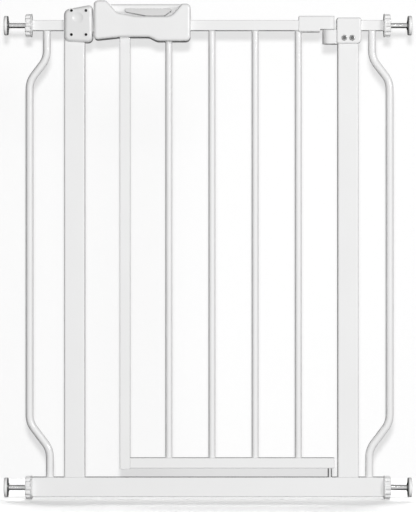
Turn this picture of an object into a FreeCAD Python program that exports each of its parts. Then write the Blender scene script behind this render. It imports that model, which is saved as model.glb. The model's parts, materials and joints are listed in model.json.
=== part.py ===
import FreeCAD, Part

import math
import os

# Pressure-mounted walk-through safety gate. Millimetres. X runs across the doorway, Y through it
# (the front is -Y), Z up. The origin is on the floor line, midway between the two walls.

# --- Driving dimensions -------------------------------------------------------------------------

DOORWAY = 624.0  # between the two walls, over the rubber pads
LOWER_AXIS_Z = 18.0
UPPER_AXIS_Z = 724.5

# Frame
FRAME_HALF = 268.6  # centre line to the open ends of the rail and the stubs
RAIL_Z = (4.0, 34.0)
RAIL_DEPTH = 20.0
RAIL_WALL = 1.5
POST_WIDTH = 32.0
LEFT_POST_X = -220.0
RIGHT_POST_X = 198.0
LEFT_POST_TOP = 742.0
RIGHT_POST_TOP = 733.9
TUBE = 16.0  # square tube of the door and the stubs
TUBE_WALL = 1.2
SIDE_BAR_RADIUS = 6.0
SIDE_BAR_BEND = 35.0
LEFT_BAR_X = (-246.6, -273.1, -241.9)  # top, middle and foot of the bent bar
RIGHT_BAR_X = (250.9, 277.8, 246.6)
BAR_JOG_Z = (674.3, 639.1, 117.3, 75.9)

# Adjusters
THREAD_RADIUS = 4.0
THREAD_CLEARANCE = 0.08
SPINDLE_INNER_END = 207.0
NUT_RADIUS = 18.0
NUT_INNER = 268.8
NUT_OUTER = 280.4
NUT_LOBES = 12
PAD_RADIUS = 15.0
PAD_THICKNESS = 5.2
DISC_THICKNESS = 2.6
BUSH_FLANGE = 1.2
BUSH_LENGTH = 20.0

# Door
PIVOT_X = 186.4
DOOR_BOTTOM = 47.5
STILE_X = (-135.0, -119.0)
DOOR_BARS_X = (-60.0, 6.0, 72.0, 138.0)
DOOR_BAR_RADIUS = 5.25
TOP_RAIL_END = 170.0
DOOR_END_X = 193.4
PIN_RADIUS = 4.0
LOWER_PIN_RADIUS = 3.3
PIN_CLEARANCE = 0.06

# Hinge
BRACKET_X = (196.1, 234.0)
BRACKET_Z = (696.0, 736.0)
BRACKET_DEPTH = 28.0
BRACKET_CORNER = 7.0
ARM_RADIUS = 11.4
ARM_TOP = 717.5
CAP_X = 138.6
CAP_STEP_X = 171.0
CAP_Z = (714.3, 718.0, 739.0)
CAP_RADIUS = 9.3
UPPER_PIN_TOP = 736.0
BRACKET_BOLTS_X = (208.0, 220.0)
BRACKET_BOLT_Z = 705.0

# Strike housing on the left post
STRIKE_HALF_DEPTH = 17.0
STRIKE_RIGHT = -175.8
STRIKE_CORNERS = (
    (-219.6, 699.7, 8.0),
    (STRIKE_RIGHT, 697.4, 8.0),
    (STRIKE_RIGHT, 756.0, 6.5),
    (-219.6, 747.8, 9.0),
)
STRIKE_SCREWS = tuple((x, z) for x in (-208.4, -186.2) for z in (709.7, 746.4))
SHELL_WALL = 2.2
POCKET_X = -186.6
POCKET_Z = (717.0, 732.0)
POCKET_HALF_DEPTH = 7.0
FIT_GAP = 0.05  # between a moulding and the tube that it fits
INSERT_Z = (713.0, 737.0)

# Handle on the door: one outline, given by its corners as X, Z and corner radius
HANDLE_HALF_DEPTH = 20.0
HANDLE_LEFT = -174.3
HANDLE_RIGHT = -26.5
HANDLE_UNDERSIDE = (
    (HANDLE_LEFT, 701.5, 6.0),
    (-134.0, 705.8, 40.0),
    (-90.0, 705.8, 12.0),
    (-78.0, 699.6, 12.0),
    (HANDLE_RIGHT, 699.6, 8.0),
)
HANDLE_SCOOPED_TOP = (
    (HANDLE_RIGHT, 756.9, 7.0),
    (-40.5, 756.9, 5.0),
    (-57.0, 737.8, 16.0),
    (-110.0, 737.8, 60.0),
    (-139.0, 743.5, 12.0),
    (-156.0, 762.0, 5.0),
    (HANDLE_LEFT, 762.0, 7.0),
)
HANDLE_BACK_TOP = (
    (HANDLE_RIGHT, 756.6, 7.0),
    (-42.0, 758.6, 20.0),
    (-150.0, 758.6, 12.0),
    (-157.0, 762.0, 5.0),
    (HANDLE_LEFT, 762.0, 7.0),
)
SCOOP_BACK_Y = 13.0
HANDLE_SCREWS = ((-163.0, 710.0), (-163.0, 750.0), (-34.5, 708.0), (-34.5, 746.0))

# Latch, drawn back
LATCH_TRAVEL = 12.0
BOLT_X = (-173.0, -141.0)
BOLT_Z = (718.5, 730.5)
BOLT_HALF_DEPTH = 5.5
SLIDE_GAP = 0.4
ARM_Z = (733.2, 735.2)
ARM_END_X = -82.0
STEM_X = (-96.0, -84.0)
STEM_HALF_DEPTH = 3.0
THUMB_Y = (-8.0, 11.0)
THUMB_CORNERS = (
    (-94.0, 738.8, 20.0),
    (-67.0, 738.8, 6.0),
    (-50.5, 750.2, 2.5),
    (-130.0, 750.2, 2.0),
    (-125.5, 744.9, 4.0),
)

X = FreeCAD.Vector(1, 0, 0)
Y = FreeCAD.Vector(0, 1, 0)
Z = FreeCAD.Vector(0, 0, 1)


# --- Helpers ------------------------------------------------------------------------------------


def point(x, y, z):
    return FreeCAD.Vector(x, y, z)


def box(x, y, z):
    """A block from three (low, high) pairs."""
    return Part.makeBox(x[1] - x[0], y[1] - y[0], z[1] - z[0], point(x[0], y[0], z[0]))


def rod(start, direction, radius, length):
    return Part.makeCylinder(radius, length, start, direction)


def square_tube(x, y, z, along, wall):
    """A rectangular tube whose open ends face along the named axis."""
    spans = {"x": x, "y": y, "z": z}
    inner = {
        axis: span if axis == along else (span[0] + wall, span[1] - wall)
        for axis, span in spans.items()
    }
    return box(x, y, z).cut(box(inner["x"], inner["y"], inner["z"]))


def centred(width):
    return (-width / 2, width / 2)


def rounded_edges(corners, closed):
    """Straight and arc edges in the XZ plane through corners given as X, Z and corner radius."""
    count = len(corners)
    spots = [point(x, 0, z) for x, z, _ in corners]
    turns = range(count) if closed else range(1, count - 1)
    arcs = {}
    for i in turns:
        here = spots[i]
        back = (spots[i - 1] - here).normalize()
        ahead = (spots[(i + 1) % count] - here).normalize()
        half = back.getAngle(ahead) / 2
        reach = corners[i][2] / math.tan(half)
        middle = (back + ahead).normalize()
        crown = here + middle * (corners[i][2] / math.sin(half) - corners[i][2])
        arcs[i] = (here + back * reach, crown, here + ahead * reach)
    edges = []
    for i in range(count if closed else count - 1):
        following = (i + 1) % count
        start = arcs[i][2] if i in arcs else spots[i]
        end = arcs[following][0] if following in arcs else spots[following]
        if i in arcs:
            edges.append(Part.Arc(*arcs[i]).toShape())
        edges.append(Part.LineSegment(start, end).toShape())
    return edges


def outline(corners, inset=0.0):
    face = Part.Face(Part.Wire(rounded_edges(corners, True)))
    return face.makeOffset2D(-inset) if inset else face


def prism(face, y):
    """A flat outline in the XZ plane, carried from the first Y to the second."""
    moved = face.copy()
    moved.translate(Y * y[0])
    return moved.extrude(Y * (y[1] - y[0]))


def bent_tube(corners, radius, wall):
    path = Part.Wire(rounded_edges(corners, False))
    start = point(corners[0][0], 0, corners[0][1])

    def swept(r):
        ring = Part.Wire(Part.makeCircle(r, start, Z))
        return path.makePipeShell([ring], True, False)

    return swept(radius).cut(swept(radius - wall))


def save(node, *solids):
    shape = solids[0] if len(solids) == 1 else Part.makeCompound(solids)
    for solid in shape.Solids:
        if not solid.isValid():
            raise ValueError(node + " has a bad solid")
    if len(shape.Solids) != len(solids):
        raise ValueError(node + " is not made of the solids it names")
    shape.exportStep("parts/" + node + ".step")


# --- Welded frame -------------------------------------------------------------------------------

WELL_CLEAR = 30.0  # how far a cutter runs past the faces that it cuts
PIN_HEAD_HEIGHT = 3.0
PIN_HEAD_RIM = 2.7
LOWER_PIN_TOP = 60.0
STRIKE_SCREW_HOLE = 1.7
BRACKET_BOLT_HOLE = 2.6
TUBE_Y = centred(TUBE)
POST_Y = centred(RAIL_DEPTH)
STUB_Z = (UPPER_AXIS_Z - TUBE / 2, UPPER_AXIS_Z + TUBE / 2)
LEFT_POST_SPAN = (LEFT_POST_X, LEFT_POST_X + POST_WIDTH)
RIGHT_POST_SPAN = (RIGHT_POST_X, RIGHT_POST_X + POST_WIDTH)
SPINDLE_HOLE = THREAD_RADIUS + 1.0


def bottom_rail():
    half = FRAME_HALF - BUSH_FLANGE
    rail = square_tube((-half, half), POST_Y, RAIL_Z, "x", RAIL_WALL)
    pin_hole = rod(point(PIVOT_X, 0, LOWER_AXIS_Z), Z, LOWER_PIN_RADIUS, WELL_CLEAR)
    return rail.cut(pin_hole)


def post(span, top, outer_x, holes):
    """An upright with a spindle hole in its outer wall and through-holes for fasteners."""
    upright = square_tube(span, POST_Y, (RAIL_Z[1], top), "z", TUBE_WALL)
    upright = upright.cut(rod(point(outer_x - 3, 0, UPPER_AXIS_Z), X, SPINDLE_HOLE, 6))  # one wall only
    for x, z, radius in holes:
        upright = upright.cut(rod(point(x, -WELL_CLEAR, z), Y, radius, 2 * WELL_CLEAR))
    return upright


def upper_stub(inner, outer):
    x = (min(inner, outer), max(inner, outer))
    return square_tube(x, TUBE_Y, STUB_Z, "x", TUBE_WALL)


def side_bar(xs):
    top, middle, foot = xs
    stations = zip((top, middle, middle, foot), BAR_JOG_Z)
    corners = [(top, STUB_Z[0], 0)]
    corners += [(x, z, SIDE_BAR_BEND) for x, z in stations]
    corners += [(foot, RAIL_Z[1], 0)]
    return bent_tube(corners, SIDE_BAR_RADIUS, TUBE_WALL)


def lower_pivot_pin():
    """The pin under the door, whose head bears on the inside of the rail."""
    start = point(PIVOT_X, 0, RAIL_Z[1] - RAIL_WALL - PIN_HEAD_HEIGHT)
    shank = rod(start, Z, LOWER_PIN_RADIUS, LOWER_PIN_TOP - start.z)
    return shank.fuse(rod(start, Z, LOWER_PIN_RADIUS + PIN_HEAD_RIM, PIN_HEAD_HEIGHT))


save("bottom_rail", bottom_rail())
post_middle_x = LEFT_POST_X + POST_WIDTH / 2
strike_holes = [(x, z, STRIKE_SCREW_HOLE) for x, z in STRIKE_SCREWS if x < post_middle_x]
bracket_holes = [(x, BRACKET_BOLT_Z, BRACKET_BOLT_HOLE) for x in BRACKET_BOLTS_X]
save("left_post", post(LEFT_POST_SPAN, LEFT_POST_TOP, LEFT_POST_SPAN[0], strike_holes))
save("right_post", post(RIGHT_POST_SPAN, RIGHT_POST_TOP, RIGHT_POST_SPAN[1], bracket_holes))
save("left_upper_stub", upper_stub(LEFT_POST_SPAN[0], BUSH_FLANGE - FRAME_HALF))
save("right_upper_stub", upper_stub(RIGHT_POST_SPAN[1], FRAME_HALF - BUSH_FLANGE))
save("left_side_bar", side_bar(LEFT_BAR_X))
save("right_side_bar", side_bar(RIGHT_BAR_X))
save("lower_pivot_pin", lower_pivot_pin())


# --- Adjusters at the four corners --------------------------------------------------------------


DISC_HUB_RADIUS = 7.0
DISC_RIM = 1.0
SPINDLE_SEAT = 1.4  # from the disc's flat face to the spindle's end
NUT_FLANGE = 1.6
GRIP_RADIUS = NUT_RADIUS - 0.4
SCALLOP_RADIUS = 2.4
SCALLOP_REACH = GRIP_RADIUS + 1.1


def along(side, distance, z):
    """A point on a spindle's axis, at a distance from the centre line."""
    return point(side * distance, 0, z)


def end_bush(side, z, width, tube_z, wall):
    """The plug in a tube's end, bored for the spindle."""
    mouth = FRAME_HALF - BUSH_FLANGE
    half = width / 2
    flange = box((mouth, FRAME_HALF), (-half, half), tube_z)
    slim = half - wall
    body = box((mouth - BUSH_LENGTH, mouth), (-slim, slim), (tube_z[0] + wall, tube_z[1] - wall))
    bore = rod(point(mouth - WELL_CLEAR, 0, z), X, THREAD_RADIUS + THREAD_CLEARANCE, 2 * WELL_CLEAR)
    bush = flange.fuse(body).removeSplitter().cut(bore)
    return bush if side > 0 else bush.mirror(point(0, 0, 0), X)


def spindle(side, z):
    end = DOORWAY / 2 - PAD_THICKNESS - SPINDLE_SEAT
    return rod(along(side, SPINDLE_INNER_END, z), X * side, THREAD_RADIUS, end - SPINDLE_INNER_END)


def wall_disc(side, z):
    """A shallow cup that spreads the spindle's push over the rubber pad."""
    seat = DOORWAY / 2 - PAD_THICKNESS
    rim = rod(along(side, seat, z), X * -side, PAD_RADIUS, DISC_RIM)
    cone_start = along(side, seat - DISC_RIM, z)
    cone_height = DISC_THICKNESS - DISC_RIM
    cone = Part.makeCone(PAD_RADIUS, DISC_HUB_RADIUS, cone_height, cone_start, X * -side)
    socket = rod(along(side, seat - SPINDLE_SEAT, z), X * -side, THREAD_RADIUS, DISC_THICKNESS)
    return cone.fuse(rim).cut(socket)


def wall_pad(side, z):
    return rod(along(side, DOORWAY / 2, z), X * -side, PAD_RADIUS, PAD_THICKNESS)


def hand_nut(side, z):
    """A wheel with grip lobes and a flange that bears on the tube's end."""
    wheel = rod(along(side, NUT_INNER, z), X * side, GRIP_RADIUS, NUT_OUTER - NUT_INNER)
    for i in range(NUT_LOBES):
        angle = 2 * math.pi * (i + 0.5) / NUT_LOBES
        middle = along(side, NUT_INNER, z) + Y * (SCALLOP_REACH * math.cos(angle))
        middle += Z * (SCALLOP_REACH * math.sin(angle))
        wheel = wheel.cut(rod(middle, X * side, SCALLOP_RADIUS, WELL_CLEAR))
    flange = rod(along(side, NUT_INNER, z), X * side, NUT_RADIUS, NUT_FLANGE)
    bore = rod(along(side, NUT_INNER - 1, z), X * side, THREAD_RADIUS + THREAD_CLEARANCE, WELL_CLEAR)
    return wheel.fuse(flange).cut(bore)


LEVELS = {
    "upper": (UPPER_AXIS_Z, TUBE, STUB_Z, TUBE_WALL),
    "lower": (LOWER_AXIS_Z, RAIL_DEPTH, RAIL_Z, RAIL_WALL),
}
for level, (axis_z, width, tube_z, wall) in LEVELS.items():
    for hand, side in (("left", -1), ("right", 1)):
        corner = level + "_" + hand
        save(corner + "_bush", end_bush(side, axis_z, width, tube_z, wall))
        save(corner + "_spindle", spindle(side, axis_z))
        save(corner + "_wall_disc", wall_disc(side, axis_z))
        save(corner + "_wall_pad", wall_pad(side, axis_z))
        save(corner + "_hand_nut", hand_nut(side, axis_z))


# --- Strike housing: two shells, a liner and screws ----------------------------------------------

BOSS_RADIUS = 3.6
BOSS_START = RAIL_DEPTH / 2 + 0.1
SCREW_RADIUS = 1.5
SCREW_HEAD_RADIUS = 2.7
HEAD_SUNK = 0.8
HEAD_HEIGHT = 2.0
HEAD_CLEARANCE = 0.2
SHANK_CLEARANCE = 0.1
STRIKE_SCREW_TIP_Y = 14.0
HANDLE_SCREW_TIP_Y = -12.0
BELOW_HOUSINGS = 690.0


def insert_block(gap):
    """The liner's outer block, between the shells' faces and flush with their right side."""
    x = (LEFT_POST_SPAN[1] + FIT_GAP - gap, STRIKE_RIGHT + 10 * gap)
    half = STRIKE_HALF_DEPTH - SHELL_WALL - FIT_GAP + gap
    return box(x, (-half, half), (INSERT_Z[0] - gap, INSERT_Z[1] + gap))


def strike_shell(front):
    """Half of the housing that caps the left post."""
    face_y = -STRIKE_HALF_DEPTH if front else STRIKE_HALF_DEPTH
    inner_y = face_y + (SHELL_WALL if front else -SHELL_WALL)
    shell = prism(outline(STRIKE_CORNERS), sorted((face_y, 0)))
    shell = shell.cut(prism(outline(STRIKE_CORNERS, SHELL_WALL), sorted((inner_y, 0))))
    post_room = box(
        (LEFT_POST_X - 5, LEFT_POST_SPAN[1] + FIT_GAP),
        (POST_Y[0] - FIT_GAP, POST_Y[1] + FIT_GAP),
        (BELOW_HOUSINGS, LEFT_POST_TOP + FIT_GAP),
    )
    for x, z in STRIKE_SCREWS:
        boss_y = sorted((math.copysign(BOSS_START, face_y), inner_y))
        shell = shell.fuse(rod(point(x, boss_y[0], z), Y, BOSS_RADIUS, boss_y[1] - boss_y[0]))
    shell = shell.cut(post_room).cut(insert_block(FIT_GAP))
    for x, z in STRIKE_SCREWS:
        if front:
            shell = shell.cut(rod(point(x, -WELL_CLEAR, z), Y, SCREW_RADIUS + SHANK_CLEARANCE, WELL_CLEAR))
            recess = rod(point(x, face_y, z), Y, SCREW_HEAD_RADIUS + HEAD_CLEARANCE, HEAD_SUNK + HEAD_HEIGHT)
            shell = shell.cut(recess)
        else:
            shell = shell.cut(rod(point(x, 0, z), Y, SCREW_RADIUS, STRIKE_HALF_DEPTH - SHELL_WALL))
    return shell


def pan_screw(x, z, head_y, tip_y):
    """A pan-head screw along Y. Its head faces away from its tip."""
    toward = 1 if tip_y > head_y else -1
    head = rod(point(x, head_y, z), Y * toward, SCREW_HEAD_RADIUS, HEAD_HEIGHT)
    shank = rod(point(x, head_y + toward, z), Y * toward, SCREW_RADIUS, abs(tip_y - head_y) - 1)
    return head.fuse(shank)


def strike_insert():
    """The liner, with the pocket that the latch bolt enters, held between the shells."""
    pocket = box((POCKET_X, STRIKE_RIGHT + 5), centred(2 * POCKET_HALF_DEPTH), POCKET_Z)
    return insert_block(0).cut(pocket)


save("strike_housing_front", strike_shell(True))
save("strike_housing_rear", strike_shell(False))
save("strike_insert", strike_insert())
strike_head_y = -STRIKE_HALF_DEPTH + HEAD_SUNK
save("strike_screws", *(pan_screw(x, z, strike_head_y, STRIKE_SCREW_TIP_Y) for x, z in STRIKE_SCREWS))


# --- Upper hinge --------------------------------------------------------------------------------

BOLT_RADIUS = 2.5
BOLT_HEAD_RADIUS = 4.35
BOLT_HEAD_HEIGHT = 5.0
BOLT_RECESS = 3.4
HINGE_BUSH_RADIUS = 6.5
BOLT_SOCKET_RADIUS = 2.3
BOLT_SOCKET_DEPTH = 2.6
NUT_HEX_RADIUS = 4.6
NUT_THICKNESS = 4.0


def hinge_bracket():
    """A cap over the right post with an arm that carries the hinge bush."""
    half = BRACKET_DEPTH / 2
    corners = (
        (BRACKET_X[0], BRACKET_Z[0], 0.5),
        (BRACKET_X[1], BRACKET_Z[0], BRACKET_CORNER),
        (BRACKET_X[1], BRACKET_Z[1], 1.5),
        (BRACKET_X[0], BRACKET_Z[1], 1.5),
    )
    block = prism(outline(corners), (-half, half))
    arm = box((PIVOT_X, BRACKET_X[0] + 1), centred(2 * ARM_RADIUS), (BRACKET_Z[0], ARM_TOP))
    knuckle = rod(point(PIVOT_X, 0, BRACKET_Z[0]), Z, ARM_RADIUS, ARM_TOP - BRACKET_Z[0])
    body = block.fuse(arm).fuse(knuckle)
    post_room = box(
        (RIGHT_POST_SPAN[0] - FIT_GAP, RIGHT_POST_SPAN[1] + FIT_GAP),
        (POST_Y[0] - FIT_GAP, POST_Y[1] + FIT_GAP),
        (BRACKET_Z[0] - 1, RIGHT_POST_TOP + FIT_GAP),
    )
    stub_slot = box(
        (RIGHT_POST_SPAN[1], BRACKET_X[1] + 1),
        (TUBE_Y[0] - FIT_GAP, TUBE_Y[1] + FIT_GAP),
        (BRACKET_Z[0] - 1, STUB_Z[1] + FIT_GAP),
    )
    body = body.cut(post_room).cut(stub_slot)
    body = body.cut(rod(point(PIVOT_X, 0, BRACKET_Z[0] - 1), Z, HINGE_BUSH_RADIUS, WELL_CLEAR))
    for x in BRACKET_BOLTS_X:
        hole = rod(point(x, -WELL_CLEAR, BRACKET_BOLT_Z), Y, BOLT_RADIUS + SHANK_CLEARANCE, 2 * WELL_CLEAR)
        recess = rod(point(x, -half, BRACKET_BOLT_Z), Y, BOLT_HEAD_RADIUS + HEAD_CLEARANCE, BOLT_RECESS)
        body = body.cut(hole).cut(recess)
    return body


def hexagon(radius, centre):
    """A flat hexagon across Y, its corners at the given radius."""
    corners = []
    for i in range(7):
        angle = math.pi * i / 3
        corners.append(centre + point(radius * math.cos(angle), 0, radius * math.sin(angle)))
    return Part.Face(Part.makePolygon(corners))


def bracket_bolt(x):
    """A socket-head bolt through the bracket and the post."""
    seat = BOLT_RECESS - BRACKET_DEPTH / 2
    head = rod(point(x, seat, BRACKET_BOLT_Z), -Y, BOLT_HEAD_RADIUS, BOLT_HEAD_HEIGHT)
    shank = rod(point(x, seat - 1, BRACKET_BOLT_Z), Y, BOLT_RADIUS, BRACKET_DEPTH + 2.6)
    socket_y = seat - BOLT_HEAD_HEIGHT
    socket = hexagon(BOLT_SOCKET_RADIUS, point(x, socket_y, BRACKET_BOLT_Z)).extrude(Y * BOLT_SOCKET_DEPTH)
    return head.fuse(shank).cut(socket)


def bracket_nut(x):
    face = hexagon(NUT_HEX_RADIUS, point(x, BRACKET_DEPTH / 2, BRACKET_BOLT_Z))
    bore = rod(point(x, 0, BRACKET_BOLT_Z), Y, BOLT_RADIUS, WELL_CLEAR)
    return face.extrude(Y * NUT_THICKNESS).cut(bore)


def upper_hinge_bush():
    height = ARM_TOP - BRACKET_Z[0]
    bush = rod(point(PIVOT_X, 0, BRACKET_Z[0]), Z, HINGE_BUSH_RADIUS, height)
    bore = rod(point(PIVOT_X, 0, BRACKET_Z[0] - 1), Z, PIN_RADIUS + PIN_CLEARANCE, WELL_CLEAR)
    return bush.cut(bore)


def hinge_cap():
    """The moulding on the end of the door's top rail. Its round end turns above the bracket's arm."""
    low, step, top = CAP_Z
    half = (-CAP_RADIUS, CAP_RADIUS)
    thick_end = box((CAP_X, CAP_STEP_X), half, (low, top))
    neck = box((CAP_STEP_X, PIVOT_X), half, (step, top))
    round_end = rod(point(PIVOT_X, 0, step), Z, CAP_RADIUS, top - step)
    round_end = round_end.common(box((CAP_X, DOOR_END_X), half, (step, top)))
    body = thick_end.fuse(neck).fuse(round_end)
    body = body.cut(box((CAP_X - 1, TOP_RAIL_END), TUBE_Y, STUB_Z))
    body = body.cut(rod(point(PIVOT_X, 0, low), Z, PIN_RADIUS, UPPER_PIN_TOP - low))
    bar_room = rod(point(DOOR_BARS_X[3], 0, low), Z, DOOR_BAR_RADIUS + FIT_GAP, STUB_Z[0] - low)
    return body.cut(bar_room)


def upper_pivot_pin():
    bottom = BRACKET_Z[0] + 1
    return rod(point(PIVOT_X, 0, bottom), Z, PIN_RADIUS, UPPER_PIN_TOP - bottom)


save("hinge_bracket", hinge_bracket())
save("hinge_bracket_bolts", *(bracket_bolt(x) for x in BRACKET_BOLTS_X))
save("hinge_bracket_nuts", *(bracket_nut(x) for x in BRACKET_BOLTS_X))
save("upper_hinge_bush", upper_hinge_bush())
save("hinge_cap", hinge_cap())
save("upper_pivot_pin", upper_pivot_pin())


# --- Door: welded tubes -------------------------------------------------------------------------

DOOR_RAIL_Z = (DOOR_BOTTOM, DOOR_BOTTOM + TUBE)
PLUG_FLANGE = 1.2
PLUG_LENGTH = 12.0
INSERT_LENGTH = 21.8
PIN_HOLE_CLEARANCE = 0.6


def door_bottom_rail():
    x = (STILE_X[1], DOOR_END_X - PLUG_FLANGE)
    rail = square_tube(x, TUBE_Y, DOOR_RAIL_Z, "x", TUBE_WALL)
    hole_radius = LOWER_PIN_RADIUS + PIN_HOLE_CLEARANCE
    return rail.cut(rod(point(PIVOT_X, 0, DOOR_BOTTOM), Z, hole_radius, TUBE_WALL))


def door_bar(x):
    bottom = DOOR_RAIL_Z[1]
    height = STUB_Z[0] - bottom
    bar = rod(point(x, 0, bottom), Z, DOOR_BAR_RADIUS, height)
    return bar.cut(rod(point(x, 0, bottom), Z, DOOR_BAR_RADIUS - TUBE_WALL, height))


def lower_hinge_insert():
    """The plug in the bottom rail's end, bored for the lower pivot pin."""
    slim = TUBE / 2 - TUBE_WALL
    z = (DOOR_RAIL_Z[0] + TUBE_WALL, DOOR_RAIL_Z[1] - TUBE_WALL)
    mouth = DOOR_END_X - PLUG_FLANGE
    body = box((mouth - INSERT_LENGTH, mouth), (-slim, slim), z)
    flange = box((mouth, DOOR_END_X), TUBE_Y, DOOR_RAIL_Z)
    bore_radius = LOWER_PIN_RADIUS + PIN_CLEARANCE
    bore = rod(point(PIVOT_X, 0, z[0]), Z, bore_radius, LOWER_PIN_TOP + 1 - z[0])
    return body.fuse(flange).cut(bore)


def door_stile_plug():
    slim = TUBE - 2 * TUBE_WALL
    middle = (STILE_X[0] + STILE_X[1]) / 2
    body = box(
        (middle - slim / 2, middle + slim / 2),
        centred(slim),
        (DOOR_BOTTOM, DOOR_BOTTOM + PLUG_LENGTH),
    )
    cap = box(STILE_X, TUBE_Y, (DOOR_BOTTOM - PLUG_FLANGE, DOOR_BOTTOM))
    return body.fuse(cap)


save("door_stile", square_tube(STILE_X, TUBE_Y, (DOOR_BOTTOM, STUB_Z[1]), "z", TUBE_WALL))
save("door_top_rail", square_tube((STILE_X[1], TOP_RAIL_END), TUBE_Y, STUB_Z, "x", TUBE_WALL))
save("door_bottom_rail", door_bottom_rail())
for number, bar_x in enumerate(DOOR_BARS_X, 1):
    save("door_bar_" + str(number), door_bar(bar_x))
save("lower_hinge_insert", lower_hinge_insert())
save("door_stile_plug", door_stile_plug())


# --- Handle: two shells and screws --------------------------------------------------------------

BOLT_WINDOW_Z = (BOLT_Z[0] - SLIDE_GAP, BOLT_Z[1] + SLIDE_GAP)


def handle_openings():
    """What passes through the handle's walls: stile, top rail, first bar, latch bolt and stem."""
    bolt_half = BOLT_HALF_DEPTH + SLIDE_GAP
    stem_half = STEM_HALF_DEPTH + SLIDE_GAP
    return (
        box(STILE_X, TUBE_Y, (BELOW_HOUSINGS, STUB_Z[1])),
        box((STILE_X[1], HANDLE_RIGHT + 5), TUBE_Y, STUB_Z),
        rod(point(DOOR_BARS_X[0], 0, BELOW_HOUSINGS), Z, DOOR_BAR_RADIUS + FIT_GAP, WELL_CLEAR),
        box((HANDLE_LEFT - 5, BOLT_X[1]), (-bolt_half, bolt_half), BOLT_WINDOW_Z),
        box(
            (STEM_X[0] - LATCH_TRAVEL - SLIDE_GAP, STEM_X[1] + SLIDE_GAP),
            (-stem_half, stem_half),
            (ARM_Z[0], ARM_Z[0] + WELL_CLEAR),
        ),
    )


def handle_shell(front):
    """Half of the handle. Both halves are hollow below the thumb scoop."""
    scooped = HANDLE_UNDERSIDE + HANDLE_SCOOPED_TOP
    face_y = -HANDLE_HALF_DEPTH if front else HANDLE_HALF_DEPTH
    inner_y = face_y + (SHELL_WALL if front else -SHELL_WALL)
    shell = prism(outline(scooped), sorted((face_y, 0)))
    if not front:
        back = outline(HANDLE_UNDERSIDE + HANDLE_BACK_TOP)
        shell = shell.fuse(prism(back, (SCOOP_BACK_Y, HANDLE_HALF_DEPTH))).removeSplitter()
    shell = shell.cut(prism(outline(scooped, SHELL_WALL), sorted((inner_y, 0))))
    for x, z in HANDLE_SCREWS:
        boss_y = sorted((0, inner_y))
        shell = shell.fuse(rod(point(x, boss_y[0], z), Y, BOSS_RADIUS, boss_y[1] - boss_y[0]))
    for opening in handle_openings():
        shell = shell.cut(opening)
    for x, z in HANDLE_SCREWS:
        if front:
            shell = shell.cut(rod(point(x, -14, z), Y, SCREW_RADIUS, WELL_CLEAR))
        else:
            shell = shell.cut(rod(point(x, 0, z), Y, SCREW_RADIUS + SHANK_CLEARANCE, WELL_CLEAR))
            recess_start = point(x, HANDLE_HALF_DEPTH, z)
            recess_radius = SCREW_HEAD_RADIUS + HEAD_CLEARANCE
            shell = shell.cut(rod(recess_start, -Y, recess_radius, HEAD_SUNK + HEAD_HEIGHT))
    return shell


save("handle_front_shell", handle_shell(True))
save("handle_rear_shell", handle_shell(False))
handle_head_y = HANDLE_HALF_DEPTH - HEAD_SUNK
save("handle_screws", *(pan_screw(x, z, handle_head_y, HANDLE_SCREW_TIP_Y) for x, z in HANDLE_SCREWS))


# --- Latch ---------------------------------------------------------------------------------------


def latch_bolt():
    """The bolt, its riser behind the left block and the arm over the stile and the rail."""
    y = (-BOLT_HALF_DEPTH, BOLT_HALF_DEPTH)
    bolt = box(BOLT_X, y, BOLT_Z)
    riser = box((BOLT_X[1] - 8, BOLT_X[1]), y, (BOLT_Z[1], ARM_Z[1]))
    arm = box((BOLT_X[1] - 8, ARM_END_X), y, ARM_Z)
    return bolt.fuse(riser).fuse(arm).removeSplitter()


def thumb_slide():
    """The grip in the scoop, on a stem that comes up through the slot in its floor."""
    pad = prism(outline(THUMB_CORNERS), THUMB_Y)
    stem = box(STEM_X, centred(2 * STEM_HALF_DEPTH), (ARM_Z[1], THUMB_CORNERS[0][1] + 1))
    return pad.fuse(stem)


save("latch_bolt", latch_bolt())
save("thumb_slide", thumb_slide())
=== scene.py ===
import json
import math

import bmesh
import bpy
from mathutils import Matrix, Vector


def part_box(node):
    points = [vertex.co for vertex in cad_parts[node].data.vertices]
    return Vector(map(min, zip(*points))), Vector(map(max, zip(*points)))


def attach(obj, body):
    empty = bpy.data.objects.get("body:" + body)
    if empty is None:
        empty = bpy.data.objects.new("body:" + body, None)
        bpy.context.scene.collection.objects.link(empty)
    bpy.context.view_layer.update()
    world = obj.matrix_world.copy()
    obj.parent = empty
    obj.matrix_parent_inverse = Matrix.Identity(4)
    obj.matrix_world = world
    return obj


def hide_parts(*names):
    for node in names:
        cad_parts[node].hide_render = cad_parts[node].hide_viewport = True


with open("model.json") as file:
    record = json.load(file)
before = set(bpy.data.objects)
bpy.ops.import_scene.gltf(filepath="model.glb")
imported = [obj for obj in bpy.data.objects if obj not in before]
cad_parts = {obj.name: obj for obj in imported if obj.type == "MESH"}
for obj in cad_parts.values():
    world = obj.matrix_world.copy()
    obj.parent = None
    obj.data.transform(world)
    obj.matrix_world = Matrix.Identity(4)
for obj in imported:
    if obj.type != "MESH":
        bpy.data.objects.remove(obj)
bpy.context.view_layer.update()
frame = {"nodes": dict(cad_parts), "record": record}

# A pressure-mounted safety gate. Every visible piece is built here around its CAD node and rides on
# that node's body. Lengths are in metres. Profiles and outlines are listed in millimetres.

MM = 0.001
ROUND = 48  # points round a circle
RECORD = frame["record"]
BODY_OF = {node: body for body, nodes in RECORD["behaviour"]["bodies"].items() for node in nodes}
JOINT_RANGE = {j["name"]: j.get("range_m") for j in RECORD["behaviour"]["joints"]}
CORNERS = [level + "_" + hand for level in ("upper", "lower") for hand in ("left", "right")]
CLEAR = 5 * MM  # how far a cutter stands out of the face that it cuts


# --- Materials -----------------------------------------------------------------------------------


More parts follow.
